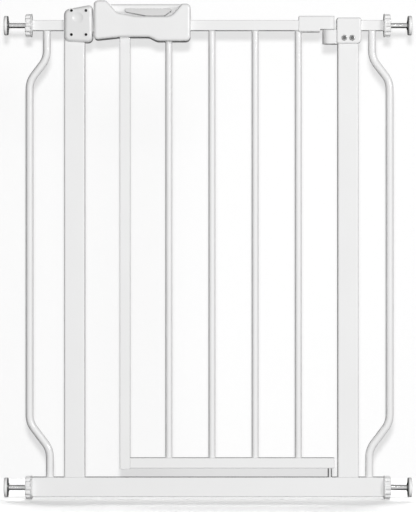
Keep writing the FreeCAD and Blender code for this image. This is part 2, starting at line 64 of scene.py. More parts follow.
class Nodes:
    """A material's or a world's node tree, with short ways to add and join nodes."""

    def __init__(self, owner):
        self.owner = owner
        owner.use_nodes = True
        self.tree = owner.node_tree
        self.shader = self.tree.nodes.get("Principled BSDF")

    def add(self, kind, settings=None, **inputs):
        """A new shader node with its settings, and with each input set or joined."""
        node = self.tree.nodes.new("ShaderNode" + kind)
        for key, value in (settings or {}).items():
            setattr(node, key, value)
        for key, value in inputs.items():
            self.put(value, node.inputs[key.replace("_", " ")])
        return node

    def put(self, value, socket):
        """Joins an output to the socket, or sets the socket to a plain value."""
        if isinstance(value, bpy.types.NodeSocket):
            self.tree.links.new(value, socket)
        else:
            socket.default_value = value

    def noise(self, scale, detail=2.0, stretch=(1, 1, 1)):
        """Noise over the object, with the scale in cells per metre."""
        place = self.add("TexCoord").outputs["Object"]
        if stretch != (1, 1, 1):
            place = self.add("Mapping", Vector=place, Scale=stretch).outputs["Vector"]
        return self.add("TexNoise", Vector=place, Scale=scale, Detail=detail).outputs["Fac"]

    def spread(self, factor, low, high, start=0.3, end=0.7, kind="LINEAR"):
        """A value from low to high as the factor goes from start to end."""
        node = self.add("MapRange", {"interpolation_type": kind}, Value=factor)
        for key, value in (("From Min", start), ("From Max", end), ("To Min", low), ("To Max", high)):
            node.inputs[key].default_value = value
        return node.outputs["Result"]

    def tint(self, factor, first, second):
        """A colour between two as the factor goes from 0 to 1."""
        node = self.add("Mix", {"data_type": "RGBA"})
        self.put(factor, node.inputs["Factor"])
        node.inputs["A"].default_value = (*first, 1)
        node.inputs["B"].default_value = (*second, 1)
        return node.outputs["Result"]

    def bump(self, height, distance, under=None):
        """A relief of the given depth in metres, over another relief if there is one."""
        node = self.add("Bump", Strength=1.0, Distance=distance)
        self.put(height, node.inputs["Height"])
        if under is not None:
            self.put(under, node.inputs["Normal"])
        return node.outputs["Normal"]

    def finish(self, **inputs):
        """Sets or joins the shader's inputs and gives back the material."""
        for key, value in inputs.items():
            self.put(value, self.shader.inputs[key.replace("_", " ")])
        return self.owner


def new_material(name):
    """The node tree of a new material."""
    return Nodes(bpy.data.materials.new(name))


def grey(value, warmth=0.0):
    """A near-neutral colour, a little red or blue."""
    return (value + warmth, value, value - warmth)


def powder_coat():
    """Glossy white powder coat on steel: orange peel under a clear skin, faint handling marks."""
    n = new_material("white powder coat")
    peel = n.bump(n.noise(700, 1.0), 0.00002)
    fine = n.bump(n.noise(2600, 2.0), 0.000006, peel)
    wash = n.spread(n.noise(9, 4.0), 0.0, 1.0, 0.35, 0.65)
    color = n.tint(wash, grey(0.80, 0.001), grey(0.82))
    gloss = n.spread(n.noise(45, 4.0), 0.36, 0.48)
    n.finish(Base_Color=color, Roughness=gloss, Normal=fine)
    return n.finish(Coat_Weight=1.0, Coat_Roughness=0.12, Coat_IOR=1.5, Coat_Normal=peel)


def moulded_plastic(name, tone, roughness, grain, skin=0.5):
    """Moulded plastic with a spark-eroded grain and slight flow marks. skin is its clear coat's weight."""
    n = new_material(name)
    texture = n.bump(n.noise(grain, 3.0), 0.000012)
    flow = n.bump(n.noise(60, 2.0, (1, 1, 0.3)), 0.00004, texture)
    wash = n.spread(n.noise(14, 3.0), 0.0, 1.0, 0.35, 0.65)
    color = n.tint(wash, grey(tone - 0.012, 0.001), grey(tone + 0.01))
    gloss = n.spread(n.noise(80, 3.0), roughness - 0.05, roughness + 0.06)
    n.finish(Base_Color=color, Roughness=gloss, Normal=flow)
    return n.finish(Coat_Weight=skin, Coat_Roughness=0.2, Coat_IOR=1.5)


def plated_steel(name, tone, roughness):
    """Plated steel: drawn scratches and a faint spangle."""
    n = new_material(name)
    scratches = n.noise(1500, 2.0, (0.08, 1, 1))
    relief = n.bump(scratches, 0.000005)
    spangle = n.add("TexVoronoi", Scale=420.0).outputs["Distance"]
    flecks = n.spread(spangle, 0.0, 1.0, 0.2, 0.8)
    color = n.tint(flecks, grey(tone - 0.04, -0.003), grey(tone + 0.03, 0.002))
    gloss = n.spread(scratches, roughness - 0.04, roughness + 0.06)
    return n.finish(Base_Color=color, Roughness=gloss, Normal=relief, Metallic=1.0)


def rubber(name, tone):
    """Smooth rubber with a fine grain, a light skin and a little dust."""
    n = new_material(name)
    relief = n.bump(n.noise(1800, 3.0), 0.00001)
    dust = n.spread(n.noise(120, 4.0), 0.0, 1.0, 0.4, 0.75)
    color = n.tint(dust, grey(tone), grey(tone + 0.05, 0.004))
    n.finish(Base_Color=color, Roughness=n.spread(dust, 0.4, 0.55, 0, 1), Normal=relief)
    return n.finish(Coat_Weight=1.0, Coat_Roughness=0.15, Coat_IOR=1.6)


STEEL = powder_coat()
SHELL = moulded_plastic("white moulded plastic", 0.80, 0.34, 2200)
# The strike housing is a darker copy of the white plastic: painted shade that stands in for the shade on
# its face.
STRIKE_PLASTIC_PAINTED_SHADE = moulded_plastic("strike plastic darkened as painted shade", 0.72, 0.32, 2200)
HINGE_PLASTIC = moulded_plastic("hinge cap plastic", 0.80, 0.62, 1600, skin=0.0)
NUT_PLASTIC = moulded_plastic("hand nut plastic", 0.80, 0.38, 1800)
# Grey plastic for the inner parts. On the thumb slide the grey is partly painted shade: it stands in for
# the shade inside the scoop.
GREY_PLASTIC_AND_SLIDE_SHADE = moulded_plastic("grey moulded plastic and painted slide shade", 0.62, 0.42, 2000)
ZINC = plated_steel("bright plated steel", 0.88, 0.12)
# Black-oxide screws. Their black also stands for the shade deep in the strike's screw recesses, so it is
# partly painted shade.
DARK_STEEL_AND_RECESS_SHADE = plated_steel("blackened steel and painted recess shade", 0.06, 0.4)
# A darker copy of the plated steel: painted reflection that stands in for the dark surroundings the chrome
# bolts reflect.
BOLT_METAL_PAINTED_REFLECTION = plated_steel("plated bolt darkened as painted reflection", 0.50, 0.14)
# A darker copy of the plated steel: painted reflection that stands in for the dark surroundings the plated
# cup reflects.
DISC_METAL_PAINTED_REFLECTION = plated_steel("plated disc darkened as painted reflection", 0.30, 0.16)
PAD_RUBBER = rubber("pad rubber", 0.84)


# --- Mesh building -------------------------------------------------------------------------------

CREASE = 38  # the angle, in degrees, above which an edge stays sharp
WELD_DISTANCE = 1e-6
PLACE = {
    "x": lambda along, a, b: Vector((along, a, b)),
    "y": lambda along, a, b: Vector((a, along, b)),
    "z": lambda along, a, b: Vector((a, b, along)),
}


def circle(radius, count=ROUND):
    """An outline as a function of how far it is grown."""
    angles = [i * (2 * math.pi / count) for i in range(count)]

    def grown(by):
        return [((radius + by) * math.cos(a), (radius + by) * math.sin(a)) for a in angles]

    return grown


def polar(reach, count=ROUND):
    """An outline whose radius is reach(angle), with half-step symmetry about both axes."""
    angles = [2 * math.pi * (i + 0.5) / count for i in range(count)]

    def grown(by):
        return [((reach(a) + by) * math.cos(a), (reach(a) + by) * math.sin(a)) for a in angles]

    return grown


def rectangle(width, depth, corner, steps=5):
    """A rounded rectangle as a function of how far it is grown. steps are a corner's faces."""

    def grown(by):
        w, d = width / 2 + by, depth / 2 + by
        r = max(corner + by, 0.15 * MM)
        points = []
        for quarter, (sx, sy) in enumerate(((1, 1), (-1, 1), (-1, -1), (1, -1))):
            for step in range(steps + 1):
                angle = math.pi / 2 * (quarter + step / steps)
                points.append((sx * (w - r) + r * math.cos(angle), sy * (d - r) + r * math.sin(angle)))
        return points

    return grown


def rounded_corner(before, here, after, radius, spacing):
    """The arc that rounds a corner, as pairs of a point and the heading there."""
    back = (before - here).normalized()
    ahead = (after - here).normalized()
    half = back.angle(ahead) / 2
    arm = back * (radius / math.tan(half)) - (back + ahead).normalized() * (radius / math.sin(half))
    centre = here + (back + ahead).normalized() * (radius / math.sin(half))
    sweep = math.pi - 2 * half
    sense = -1 if back.cross(ahead) > 0 else 1
    steps = max(3, round(sweep * radius / spacing))
    turns = [Matrix.Rotation(sense * sweep * step / steps, 2) for step in range(steps + 1)]
    return [(centre + turn @ arm, turn @ -back) for turn in turns]


def rounded_path(corners, spacing):
    """Points along an outline whose corners are given as (a, b, radius) in millimetres, closed."""
    points = []
    count = len(corners)
    spots = [Vector(c[:2]) * MM for c in corners]
    for i, here in enumerate(spots):
        arc = rounded_corner(spots[i - 1], here, spots[(i + 1) % count], corners[i][2] * MM, spacing)
        points += [point for point, _ in arc]
    return points


def outline(corners, spacing=1.2 * MM):
    """A rounded outline as a function of how far it is grown along its own normals."""
    points = rounded_path(corners, spacing)
    count = len(points)
    normals = []
    for i in range(count):
        run = points[(i + 1) % count] - points[i - 1]
        normals.append(Vector((run.y, -run.x)).normalized())
    area = sum(points[i - 1].cross(points[i]) for i in range(count))
    outward = 1 if area > 0 else -1

    def grown(by):
        return [tuple(p + n * (by * outward)) for p, n in zip(points, normals)]

    return grown


def rings(axis, centre, shape, stations):
    """Rings of the shape at (place along the axis, how far it is grown)."""
    place = PLACE[axis]
    return [
        [place(along, centre[0] + a, centre[1] + b) for a, b in shape(by)] for along, by in stations
    ]


def loft(loops, closed=False):
    """A skin over loops of equal length. A closed skin joins its last loop to its first."""
    mesh = bmesh.new()
    rows = [[mesh.verts.new(p) for p in loop] for loop in loops]
    count = len(rows[0])
    pairs = list(zip(rows, rows[1:])) + ([(rows[-1], rows[0])] if closed else [])
    for low, high in pairs:
        for i in range(count):
            j = (i + 1) % count
            mesh.faces.new((low[i], low[j], high[j], high[i]))
    if not closed:
        mesh.faces.new(rows[0])
        mesh.faces.new(rows[-1])
    return mesh


def joined(meshes):
    """Several meshes as one."""
    whole = bmesh.new()
    for mesh in meshes:
        carrier = bpy.data.meshes.new("carrier")
        mesh.to_mesh(carrier)
        mesh.free()
        whole.from_mesh(carrier)
        bpy.data.meshes.remove(carrier)
    return whole


def as_object(name, mesh, crease=CREASE):
    """A new object from the mesh, smooth apart from edges sharper than the crease, in degrees."""
    data = bpy.data.meshes.new(name)
    bmesh.ops.recalc_face_normals(mesh, faces=mesh.faces)
    mesh.to_mesh(data)
    mesh.free()
    data.polygons.foreach_set("use_smooth", [True] * len(data.polygons))
    data.set_sharp_from_angle(angle=math.radians(crease))
    obj = bpy.data.objects.new(name, data)
    bpy.context.scene.collection.objects.link(obj)
    return obj


def carved(mesh, cutters, operation="DIFFERENCE"):
    """The mesh after boolean steps with each cutter."""
    body = as_object("carving", mesh)
    for cutter in cutters:
        tool = as_object("cutter", cutter)
        step = body.modifiers.new("cut", "BOOLEAN")
        step.operation = operation
        step.solver = "EXACT"
        step.object = tool
        bpy.context.view_layer.update()
        done = bpy.data.meshes.new_from_object(body.evaluated_get(bpy.context.evaluated_depsgraph_get()))
        body.modifiers.clear()
        body.data = done
        bpy.data.objects.remove(tool)
    result = bmesh.new()
    result.from_mesh(body.data)
    bpy.data.objects.remove(body)
    bmesh.ops.remove_doubles(result, verts=result.verts, dist=WELD_DISTANCE)
    return result


def show(node, mesh, material, crease=CREASE, even_faces=True):
    """Puts a finished mesh in place of a CAD node, on that node's body."""
    obj = as_object(node + "_shape", mesh, crease)
    obj.data.materials.append(material)
    if even_faces:
        even = obj.modifiers.new("even", "WEIGHTED_NORMAL")
        even.keep_sharp = True
    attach(obj, BODY_OF[node])
    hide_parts(node)


def quarter_turn(steps=4):
    """Angles from zero to a right angle."""
    return [math.pi / 2 * i / steps for i in range(steps + 1)]


def eased(low, high, ease):
    """Stations from low to high with quarter-round ends."""
    turn = quarter_turn()
    start = [(low + ease * (1 - math.sin(t)), -ease * (1 - math.cos(t))) for t in reversed(turn)]
    end = [(high - ease * (1 - math.sin(t)), -ease * (1 - math.cos(t))) for t in turn]
    return start + end


def welded(low, high, bead):
    """Stations from low to high with a small concave weld fillet at each end."""
    turn = quarter_turn()
    start = [(low + bead * (1 - math.cos(t)), bead * (1 - math.sin(t))) for t in turn]
    end = [(high - bead * (1 - math.cos(t)), bead * (1 - math.sin(t))) for t in reversed(turn)]
    return start + end


def across(low, high, axis):
    """The middle and the size of a box, seen along an axis."""
    others = [i for i in range(3) if i != "xyz".index(axis)]
    centre = [(low[i] + high[i]) / 2 for i in others]
    size = [high[i] - low[i] for i in others]
    return centre, size


def block(low, high, corner, ease, axis="z"):
    """A closed block between two corner points, rounded round the axis and at its ends."""
    index = "xyz".index(axis)
    centre, size = across(low, high, axis)
    stations = eased(low[index], high[index], ease)
    return loft(rings(axis, centre, rectangle(*size, corner), stations))


def disc(axis, centre, radius, low, high, ease=0.0, count=ROUND):
    """A closed round bar or plate from low to high along the axis."""
    stations = eased(low, high, ease) if ease else [(low, 0), (high, 0)]
    return loft(rings(axis, centre, circle(radius, count), stations))


# --- Welded frame and door tubes ------------------------------------------------------------------

TUBE_CORNER = 1.5 * MM
POST_CORNER = 3.0 * MM
TUBE_WALL = 1.2 * MM
RAIL_WALL = 1.5 * MM
TUBE_LIP = 0.25 * MM
BEAD = 0.9 * MM


def square_tube(node, axis, corner=TUBE_CORNER, wall=TUBE_WALL):
    """A rolled square or rectangular tube, hollow, with slightly broken ends."""
    low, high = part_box(node)
    index = "xyz".index(axis)
    centre, size = across(low, high, axis)
    start, end = low[index], high[index]
    outside = [(start, -TUBE_LIP), (start + TUBE_LIP, 0), (end - TUBE_LIP, 0), (end, -TUBE_LIP)]
    inside = [(end, -wall), (start, -wall)]
    show(node, loft(rings(axis, centre, rectangle(*size, corner), outside + inside), closed=True), STEEL)


def round_bar(node):
    """A round door bar with a weld fillet at each rail."""
    low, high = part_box(node)
    centre, size = across(low, high, "z")
    show(node, loft(rings("z", centre, circle(size[0] / 2), welded(low.z, high.z, BEAD))), STEEL)


BAR_BEND = 35 * MM
BAR_BEND_STEP = 1.2 * MM
BAR_JOGS = (674.3, 639.1, 117.3, 75.9)  # heights of the four bends, in millimetres
BAR_RADIUS = 6 * MM


def side_bar(node, xs):
    """The bent round bar beside a post. xs are its top, middle and foot, in millimetres."""
    low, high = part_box(node)
    top, middle, foot = (x * MM for x in xs)
    stops = [(top, high.z)]
    stops += [(x, z * MM) for x, z in zip((top, middle, middle, foot), BAR_JOGS)]
    stops += [(foot, low.z)]
    spots = [Vector(s) for s in stops]
    down = Vector((0, -1))
    weld = welded(0, 0, BEAD)
    half = len(weld) // 2
    route = [(spots[0] + down * along, down, grow) for along, grow in weld[:half]]
    for before, here, after in zip(spots, spots[1:], spots[2:]):
        bend = rounded_corner(before, here, after, BAR_BEND, BAR_BEND_STEP)
        route += [(point, heading, 0) for point, heading in bend]
    route += [(spots[-1] + down * along, down, grow) for along, grow in weld[half:]]
    loops = []
    for spot, heading, grow in route:
        sideways = Vector((heading.y, 0, -heading.x))
        ring = circle(BAR_RADIUS)(grow)
        loops.append([Vector((spot.x, 0, spot.y)) + sideways * a + Vector((0, b, 0)) for a, b in ring])
    show(node, loft(loops), STEEL)


for node in ("left_post", "right_post", "door_stile"):
    square_tube(node, "z", POST_CORNER if "post" in node else TUBE_CORNER)
for node in ("left_upper_stub", "right_upper_stub", "door_top_rail", "door_bottom_rail"):
    square_tube(node, "x")
square_tube("bottom_rail", "x", wall=RAIL_WALL)
for number in range(1, 5):
    round_bar("door_bar_" + str(number))
side_bar("left_side_bar", (-246.6, -273.1, -241.9))
side_bar("right_side_bar", (250.9, 277.8, 246.6))


# --- Adjusters ------------------------------------------------------------------------------------

THREAD_PITCH = 1.25 * MM
THREAD_DEPTH = 0.35 * MM
THREAD_STEPS = 16  # along one pitch and also round the rod, so the crests follow the grid
CREST_SLOPE = 5.0  # how soon a flank reaches its flat crest
BORE = 4.08 * MM  # the bushes' and the nuts' radius round the rod
NUT_THICK = 11.6  # the nut's profile is drawn at this thickness and radius, in millimetres
NUT_RADIUS = 18.0
NUT_SET_BACK = 1.3 * MM  # the visible nut is this much thinner than the CAD one
NUT_LOBES = 12


def hand_of(corner):
    """-1 at the gate's left end, 1 at its right."""
    return -1 if corner.endswith("left") else 1


def axis_of(corner):
    """Where the spindle's line passes, as (y, z)."""
    return across(*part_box(corner + "_hand_nut"), "x")[0]


def spindle(corner):
    """A rod with a helical thread along its whole length."""
    low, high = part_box(corner + "_spindle")
    centre = axis_of(corner)
    radius = (high.z - low.z) / 2
    count = THREAD_STEPS
    rows = round((high.x - low.x) / THREAD_PITCH * THREAD_STEPS)
    loops = []
    for row in range(rows + 1):
        share = row / rows
        x = low.x + (high.x - low.x) * share
        tip = min(1.0, min(share, 1 - share) * rows / THREAD_STEPS)
        loop = []
        for k in range(count):
            phase = ((x - low.x) / THREAD_PITCH - k / count) % 1.0
            crest = 1 - abs(2 * phase - 1)
            r = radius - THREAD_DEPTH * (1 - min(1.0, crest * CREST_SLOPE) * tip)
            angle = 2 * math.pi * k / count
            loop.append(Vector((x, centre[0] + r * math.cos(angle), centre[1] + r * math.sin(angle))))
        loops.append(loop)
    show(corner + "_spindle", loft(loops), ZINC, crease=30, even_faces=False)


def lobed(radius, depth):
    """A grip outline: flat crests with scooped valleys between them."""

    def reach(angle):
        valley = 0.5 - 0.5 * math.cos(NUT_LOBES * angle)
        return radius - depth * valley**1.6

    return polar(reach, 12 * NUT_LOBES)


def hand_nut(corner):
    """The grip wheel: lobed rim, dished outer face with a hub, and a flange on its inner side."""
    low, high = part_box(corner + "_hand_nut")
    side = hand_of(corner)
    inner = low.x if side > 0 else high.x
    thick = high.x - low.x
    radius = (high.z - low.z) / 2
    profile = (
        (0.0, 4.08, 0.0), (11.0, 4.08, 0.0), (11.6, 4.8, 0.0), (11.6, 7.6, 0.0), (11.2, 8.2, 0.0),
        (9.6, 8.8, 0.0), (9.4, 10.0, 0.0), (9.4, 12.6, 0.0), (9.8, 13.6, 0.0), (11.2, 14.4, 0.1),
        (11.6, 15.0, 0.3), (11.5, 16.0, 1.0), (10.8, 17.1, 2.0), (9.6, 17.6, 2.5), (3.6, 17.6, 2.5),
        (2.6, 17.3, 1.6), (2.0, 17.2, 0.0), (1.7, 17.7, 0.0), (1.3, 18.0, 0.0), (0.5, 18.0, 0.0),
        (0.0, 17.5, 0.0),
    )
    scale = (thick - NUT_SET_BACK) / (NUT_THICK * MM)
    grow = radius / (NUT_RADIUS * MM)
    loops = []
    for along, reach, depth in profile:
        x = inner + side * along * MM * scale
        at_bore = reach < 5
        shape = lobed(reach * MM * (1 if at_bore else grow), depth * MM)
        loops += rings("x", axis_of(corner), shape, [(x, 0)])
    show(corner + "_hand_nut", loft(loops, closed=True), NUT_PLASTIC, crease=50)


def wall_pad(corner):
    """The rubber pad, with two grooves in the face that meets the wall."""
    low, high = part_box(corner + "_wall_pad")
    side = hand_of(corner)
    wall = high.x if side > 0 else low.x
    thick = (high.x - low.x) / MM
    radius = (high.z - low.z) / 2 / MM
    profile = (
        (0, radius - 1.5), (0.1, radius - 1.0), (0.5, radius - 0.4), (1.3, radius), (thick - 2.2, radius),
        (thick - 1.4, radius - 0.2), (thick - 0.6, radius - 0.8), (thick - 0.1, radius - 1.6),
        (thick, radius - 2.4), (thick, 10.9), (thick - 0.8, 10.5), (thick - 0.8, 9.7), (thick, 9.3),
        (thick, 6.2), (thick - 0.8, 5.8), (thick - 0.8, 5.0), (thick, 4.6), (thick, 0.3),
    )
    inner = wall - side * thick * MM
    loops = rings("x", axis_of(corner), circle(0), [(inner + side * a * MM, r * MM) for a, r in profile])
    show(corner + "_wall_pad", loft(loops), PAD_RUBBER)


def wall_disc(corner):
    """A pressed cup with a rolled rim and a collar that holds the spindle."""
    low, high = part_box(corner + "_wall_disc")
    side = hand_of(corner)
    seat = high.x if side > 0 else low.x
    radius = (high.z - low.z) / 2 / MM
    thick = (high.x - low.x) / MM
    profile = (
        (0.0, 0.3), (0.0, radius - 0.6), (0.2, radius - 0.2), (0.6, radius), (0.9, radius - 0.1),
        (1.2, radius - 0.6), (1.4, radius - 1.6), (1.5, radius - 4.0), (1.6, 8.0), (1.8, 7.2),
        (thick - 0.3, 6.6), (thick, 6.2), (thick, 4.3),
    )
    loops = rings("x", axis_of(corner), circle(0), [(seat - side * a * MM, r * MM) for a, r in profile])
    # The cup's dark tone is painted reflection.
    show(corner + "_wall_disc", loft(loops), DISC_METAL_PAINTED_REFLECTION)


def end_bush(corner):
    """The plug in a tube's end: a thin flange and a body bored for the spindle."""
    low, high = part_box(corner + "_bush")
    side = hand_of(corner)
    mouth, deep = (high.x, low.x) if side > 0 else (low.x, high.x)
    middle, size = across(low, high, "x")
    edge = 0.4 * MM
    step = mouth - side * 1.2 * MM
    stations = [
        (deep, -2.2 * MM), (step, -1.7 * MM), (step, 0), (mouth - side * edge, 0), (mouth, -edge),
    ]
    outer = rings("x", middle, rectangle(*size, 2.4 * MM, steps=11), stations)
    axis = axis_of(corner)

    def bored(loop):
        centre = Vector((loop[0].x, *axis))
        return [centre + (p - centre).normalized() * BORE for p in loop]

    show(corner + "_bush", loft(outer + [bored(outer[-1]), bored(outer[0])], closed=True), SHELL)


for corner in CORNERS:
    spindle(corner)
    hand_nut(corner)
    wall_pad(corner)
    wall_disc(corner)
    end_bush(corner)


# --- Fasteners ------------------------------------------------------------------------------------

BOLT_HEAD_HEIGHT = 5.0 * MM
BOLT_SHANK_RADIUS = 2.5 * MM
SHANK_OVERLAP = 0.5 * MM
HEX_NUT_FLAT = 3.98 * MM  # half the width across the flats
HEX_NUT_BORE = 2.55 * MM
SCREW_HEAD_HEIGHT = 2.0 * MM
SCREW_SHANK_RADIUS = 1.45 * MM
TAPER = 0.05 * MM
CONE_TIP = 0.1 * MM


def hexagon(flat):
    """A hexagon outline, half the width across its flats."""

    def reach(angle):
        return flat / math.cos((angle + math.pi / 6) % (math.pi / 3) - math.pi / 6)

    return polar(reach)


def cross(width, length):
    """A cross-recess outline."""

    def reach(angle):
        c, s = max(abs(math.cos(angle)), 1e-6), max(abs(math.sin(angle)), 1e-6)
        return max(min(length / c, width / s), min(width / c, length / s))

    return polar(reach)


def driven_head(place, centre, radius, height, facing, socket, depth, cone, dome):
    """A screw head at a plane Y, facing -Y or +Y, with a driver recess that ends in a cone."""
    skirt = polar(lambda angle: radius)
    levels = [(0, skirt(0))]
    for t in quarter_turn():
        levels.append((height - dome * (1 - math.sin(t)), skirt(-dome * (1 - math.cos(t)))))
    levels += [(height, socket(0)), (height - depth, socket(-TAPER))]
    levels.append((height - depth - cone, polar(lambda angle: CONE_TIP)(0)))
    loops = []
    for up, ring in levels:
        loops.append([Vector((centre[0] + a, place + facing * up, centre[1] + b)) for a, b in ring])
    return loft(loops)


def solid_centres(node):
    """The middle of each solid in a node of identical fasteners, as (x, z)."""
    mesh = bmesh.new()
    mesh.from_mesh(frame["nodes"][node].data)
    bmesh.ops.remove_doubles(mesh, verts=mesh.verts, dist=WELD_DISTANCE)
    matrix = frame["nodes"][node].matrix_world
    centres = []
    left = set(mesh.verts)
    while left:
        stack = [left.pop()]
        island = []
        while stack:
            vert = stack.pop()
            island.append(matrix @ vert.co)
            for edge in vert.link_edges:
                other = edge.other_vert(vert)
                if other in left:
                    left.remove(other)
                    stack.append(other)
        xs = [p.x for p in island]
        zs = [p.z for p in island]
        centres.append(((min(xs) + max(xs)) / 2, (min(zs) + max(zs)) / 2))
    mesh.free()
    return sorted(centres)


def bracket_bolts():
    """Two hexagon-socket bolts that face the front, through the bracket and the right post."""
    low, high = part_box("hinge_bracket_bolts")
    seat = low.y + BOLT_HEAD_HEIGHT
    parts = []
    for centre in solid_centres("hinge_bracket_bolts"):
        parts.append(driven_head(
            seat, centre, radius=4.2 * MM, height=BOLT_HEAD_HEIGHT, facing=-1,
            socket=hexagon(2.2 * MM), depth=0.6 * MM, cone=1.8 * MM, dome=1.0 * MM,
        ))
        parts.append(disc("y", centre, BOLT_SHANK_RADIUS, seat - SHANK_OVERLAP, high.y, ease=0.4 * MM))
    # The heads' dark tone is painted reflection.
    show("hinge_bracket_bolts", joined(parts), BOLT_METAL_PAINTED_REFLECTION)


def bracket_nuts():
    """Two hexagon nuts behind the bracket, with broken corners."""
    low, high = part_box("hinge_bracket_nuts")
    parts = []
    for centre in solid_centres("hinge_bracket_nuts"):
        front = [(low.y, -0.2 * MM), (low.y + 0.3 * MM, 0)]
        rear = [(high.y - 0.5 * MM, 0), (high.y, -0.45 * MM)]
        outer = rings("y", centre, hexagon(HEX_NUT_FLAT), front + rear)
        bore = rings("y", centre, polar(lambda angle: HEX_NUT_BORE), [(high.y, 0), (low.y, 0)])
        parts.append(loft(outer + bore, closed=True))
    show("hinge_bracket_nuts", joined(parts), ZINC, crease=25)


def pan_screws(node, facing, sink, material):
    """Cross-recess screws along Y. sink is how far a head lies below the CAD head's face."""
    low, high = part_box(node)
    face, tip = (low.y, high.y) if facing < 0 else (high.y, low.y)
    seat = face - facing * (SCREW_HEAD_HEIGHT + sink)
    parts = []
    for centre in solid_centres(node):
        parts.append(driven_head(
            seat, centre, radius=2.6 * MM, height=SCREW_HEAD_HEIGHT, facing=facing,
            socket=cross(0.45 * MM, 1.6 * MM), depth=0.8 * MM, cone=0.5 * MM, dome=0.8 * MM,
        ))
        parts.append(disc("y", centre, SCREW_SHANK_RADIUS, min(seat, tip), max(seat, tip)))
    show(node, joined(parts), material)


bracket_bolts()
bracket_nuts()
# The screws' black is partly painted shade for the recesses they sit in.
pan_screws("strike_screws", -1, sink=2.4 * MM, material=DARK_STEEL_AND_RECESS_SHADE)
pan_screws("handle_screws", 1, sink=0.4 * MM, material=ZINC)


# --- Strike housing -------------------------------------------------------------------------------

PARTING = 0.12 * MM
PARTING_BEVEL = 0.2 * MM
FIT_GAP = 0.05 * MM
STRIKE_CORNERS = (
    (-219.6, 699.7, 8.0), (-175.8, 697.4, 8.0), (-175.8, 756.0, 6.5), (-219.6, 747.8, 9.0),
)
STRIKE_EDGE = 6.0 * MM
POCKET = ((-186.6, -7.0, 717.0), (-170.0, 7.0, 732.0))
RECESS_RADIUS = 2.1 * MM
RECESS_DEPTH = 8.0 * MM
CUTTER_ROUND = 32  # points round a small cutter
THUMB_DISH = (-198.6, 735.6, 8.6, 1.8)  # x, z, radius and depth


def half_stations(y, edge):
    """Stations from the parting plane to a rounded face at y."""
    sense = 1 if y > 0 else -1
    stations = [(sense * PARTING, -PARTING_BEVEL), (sense * (PARTING + PARTING_BEVEL), 0)]
    for t in quarter_turn(6):
        stations.append((y - sense * edge * (1 - math.sin(t)), -edge * (1 - math.cos(t))))
    return stations


def left_post_room():
    """Room for the left post, open past the strike housing's left side."""
    low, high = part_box("left_post")
    gap = Vector((FIT_GAP,) * 3)
    return block(low - gap - Vector((20 * MM, 0, 0)), high + gap, 0.1 * MM, 0)


def raised_ring(centre, y, outer, inner, height, facing):
    """A low round lip standing on a face, with eased edges. Its sizes are in millimetres."""
    profile = (
        (-0.6, outer), (height * 0.4, outer), (height, outer - 0.35), (height, inner + 0.3),
        (height - 0.3, inner), (-0.6, inner),
    )
    loops = rings("y", centre, circle(0), [(y + facing * up * MM, r * MM) for up, r in profile])
    return loft(loops, closed=True)


def strike_half(node, facing):
    """One shell of the strike housing. The front one has four screw recesses and a thumb dish."""
    low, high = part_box(node)
    y = low.y if facing < 0 else high.y
    shell = loft(rings("y", (0, 0), outline(STRIKE_CORNERS), half_stations(y, STRIKE_EDGE)))
    insert_low, insert_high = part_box("strike_insert")
    reach = Vector((FIT_GAP,) * 3)
    beyond = Vector((10 * MM, 0, 0))
    insert_room = block(insert_low - reach, insert_high + reach + beyond, 0.6 * MM, 0.0, "x")
    cutters = [insert_room, left_post_room()]
    rims = []
    if facing < 0:
        for centre in solid_centres("strike_screws"):
            deep = y + RECESS_DEPTH
            cutters.append(disc("y", centre, RECESS_RADIUS, y - CLEAR, deep, count=CUTTER_ROUND))
            rims.append(raised_ring(centre, y, outer=3.7, inner=RECESS_RADIUS / MM, height=0.35, facing=-1))
        x, z, radius, depth = (v * MM for v in THUMB_DISH)
        ball = (radius**2 + depth**2) / (2 * depth)
        past_rim = math.asin(radius * 1.5 / ball)
        arcs = [past_rim * i / 10 for i in range(1, 11)]
        dish = [(y + depth - ball * (1 - math.cos(t)), ball * math.sin(t)) for t in arcs]
        cutters.append(loft(rings("y", (x, z), circle(0), dish)))
    mesh = carved(shell, cutters)
    # The housing's darker tone is painted shade.
    show(node, joined([mesh] + rims), STRIKE_PLASTIC_PAINTED_SHADE)


strike_half("strike_housing_front", -1)
strike_half("strike_housing_rear", 1)


def strike_insert():
    """The liner with the pocket that the latch bolt enters."""
    low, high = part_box("strike_insert")
    corner_a, corner_b = (Vector(c) * MM for c in POCKET)
    body = block(low, high, 0.6 * MM, 0.4 * MM, "x")
    show("strike_insert", carved(body, [block(corner_a, corner_b, 1.0 * MM, 0.0, "x")]), GREY_PLASTIC_AND_SLIDE_SHADE)


strike_insert()


# --- Handle ---------------------------------------------------------------------------------------

HANDLE_UNDERSIDE = (
    (-174.3, 701.5, 6.0), (-134.0, 705.8, 40.0), (-90.0, 705.8, 12.0), (-78.0, 699.6, 12.0),
    (-26.5, 699.6, 8.0),
)
HANDLE_SCOOP = (
    (-26.5, 756.9, 7.0), (-40.5, 756.9, 5.0), (-57.0, 737.8, 16.0), (-110.0, 737.8, 60.0),
    (-139.0, 743.5, 12.0), (-156.0, 762.0, 5.0), (-174.3, 762.0, 7.0),
)
HANDLE_BACK = (
    (-26.5, 756.6, 7.0), (-42.0, 758.6, 20.0), (-150.0, 758.6, 12.0), (-157.0, 762.0, 5.0),
    (-174.3, 762.0, 7.0),
)
SCOOP_ABOVE = ((-164.0, 762.4, 1.0), (-164.0, 790.0, 1.0), (-32.0, 790.0, 1.0), (-32.0, 757.2, 1.0))
HANDLE_EDGE = 5.0 * MM
SCOOP_BACK = 13.0 * MM
REAR_WALL_TOP = 758.6 * MM
REAR_WALL_ROUND = 4.5 * MM
REAR_WALL_X = (-149.0 * MM, -43.5 * MM)
HANDLE_RECESS_RADIUS = 2.9 * MM
